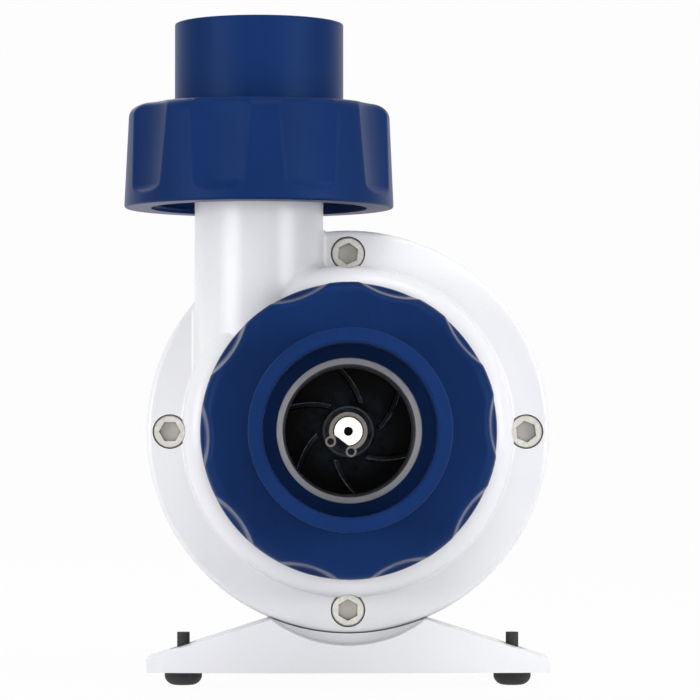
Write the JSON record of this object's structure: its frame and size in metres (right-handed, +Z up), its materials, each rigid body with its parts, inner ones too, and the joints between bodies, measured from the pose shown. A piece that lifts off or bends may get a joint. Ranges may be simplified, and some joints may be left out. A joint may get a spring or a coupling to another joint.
{
  "type": "aquarium pump",
  "caption": "Centrifugal aquarium pump with white casing, blue union couplings at inlet and top outlet, black impeller, can motor and bracket feet.",
  "frame": {"origin": "middle of the footprint, on the floor that the rubber feet stand on", "axes": "-Y the way the inlet faces, along the shaft; +Z up, the way the outlet faces; +X to the right as seen from the inlet"},
  "size_m": [0.1304, 0.2128, 0.2029],
  "materials": {
    "white_plastic": "gloss",
    "blue_plastic": "gloss",
    "black_plastic": "satin",
    "steel": "satin",
    "rubber": "matte",
    "ceramic": "satin",
    "magnet": "matte",
    "core_steel": "matte",
    "copper": "gloss"
  },
  "bodies": {
    "root": {"volute_casing": "white_plastic", "casing_screws": "steel", "casing_seal": "rubber", "inlet_seal": "rubber", "outlet_seal": "rubber", "bearing_plate": "black_plastic", "front_bearing": "ceramic", "rear_bearing": "ceramic", "thrust_washers": "ceramic", "rotor_can": "black_plastic", "can_seal": "rubber", "stator_core": "core_steel", "stator_windings": "copper", "motor_housing": "white_plastic", "rear_cap": "white_plastic", "rear_cap_seal": "rubber", "rear_cap_screws": "steel", "gland_body": "black_plastic", "gland_washer": "rubber", "front_foot": "white_plastic", "rear_foot": "white_plastic", "foot_screws": "steel", "front_rubber_feet": "rubber", "rear_rubber_feet": "rubber"},
    "rotor": {"impeller": "black_plastic", "shaft": "steel", "shaft_circlip": "steel", "rotor_magnet": "magnet"},
    "inlet_tail": {"inlet_socket": "blue_plastic"},
    "inlet_nut": {"inlet_union_nut": "blue_plastic"},
    "outlet_tail": {"outlet_socket": "blue_plastic"},
    "outlet_nut": {"outlet_union_nut": "blue_plastic"},
    "gland_grip": {"gland_insert": "rubber"},
    "gland_clamp": {"gland_nut": "black_plastic"}
  },
  "joints": [
    {"name": "rotor_spin", "type": "hinge", "parent": "root", "child": "rotor", "pos_m": [0.0034, -0.0264, 0.0779], "axis": [0, 1, 0], "continuous": true},
    {"name": "inlet_tail_slide", "type": "slide", "parent": "root", "child": "inlet_tail", "axis": [0, -1, 0], "range_m": [0, 0.0185]},
    {"name": "inlet_nut_turn", "type": "hinge", "parent": "inlet_tail", "child": "inlet_nut", "pos_m": [0.0034, -0.0264, 0.0779], "axis": [0, -1, 0], "range_deg": [0, 2880]},
    {"name": "outlet_tail_slide", "type": "slide", "parent": "root", "child": "outlet_tail", "axis": [0, 0, 1], "range_m": [0, 0.0139]},
    {"name": "outlet_nut_turn", "type": "hinge", "parent": "outlet_tail", "child": "outlet_nut", "pos_m": [-0.0239, -0.0264, 0.1674], "axis": [0, 0, 1], "range_deg": [0, 2160]},
    {"name": "gland_grip_slide", "type": "slide", "parent": "root", "child": "gland_grip", "axis": [0, 1, 0], "range_m": [0, 0.0061]},
    {"name": "gland_nut_turn", "type": "hinge", "parent": "gland_grip", "child": "gland_clamp", "pos_m": [0.0034, 0.0871, 0.0559], "axis": [0, 1, 0], "range_deg": [0, 1440]}
  ],
  "couplings": [
    {"joint": "inlet_tail_slide", "follows": "inlet_nut_turn", "m_per_rad": 0.00036749},
    {"joint": "outlet_tail_slide", "follows": "outlet_nut_turn", "m_per_rad": 0.00036749},
    {"joint": "gland_grip_slide", "follows": "gland_nut_turn", "m_per_rad": 0.00023873}
  ]
}
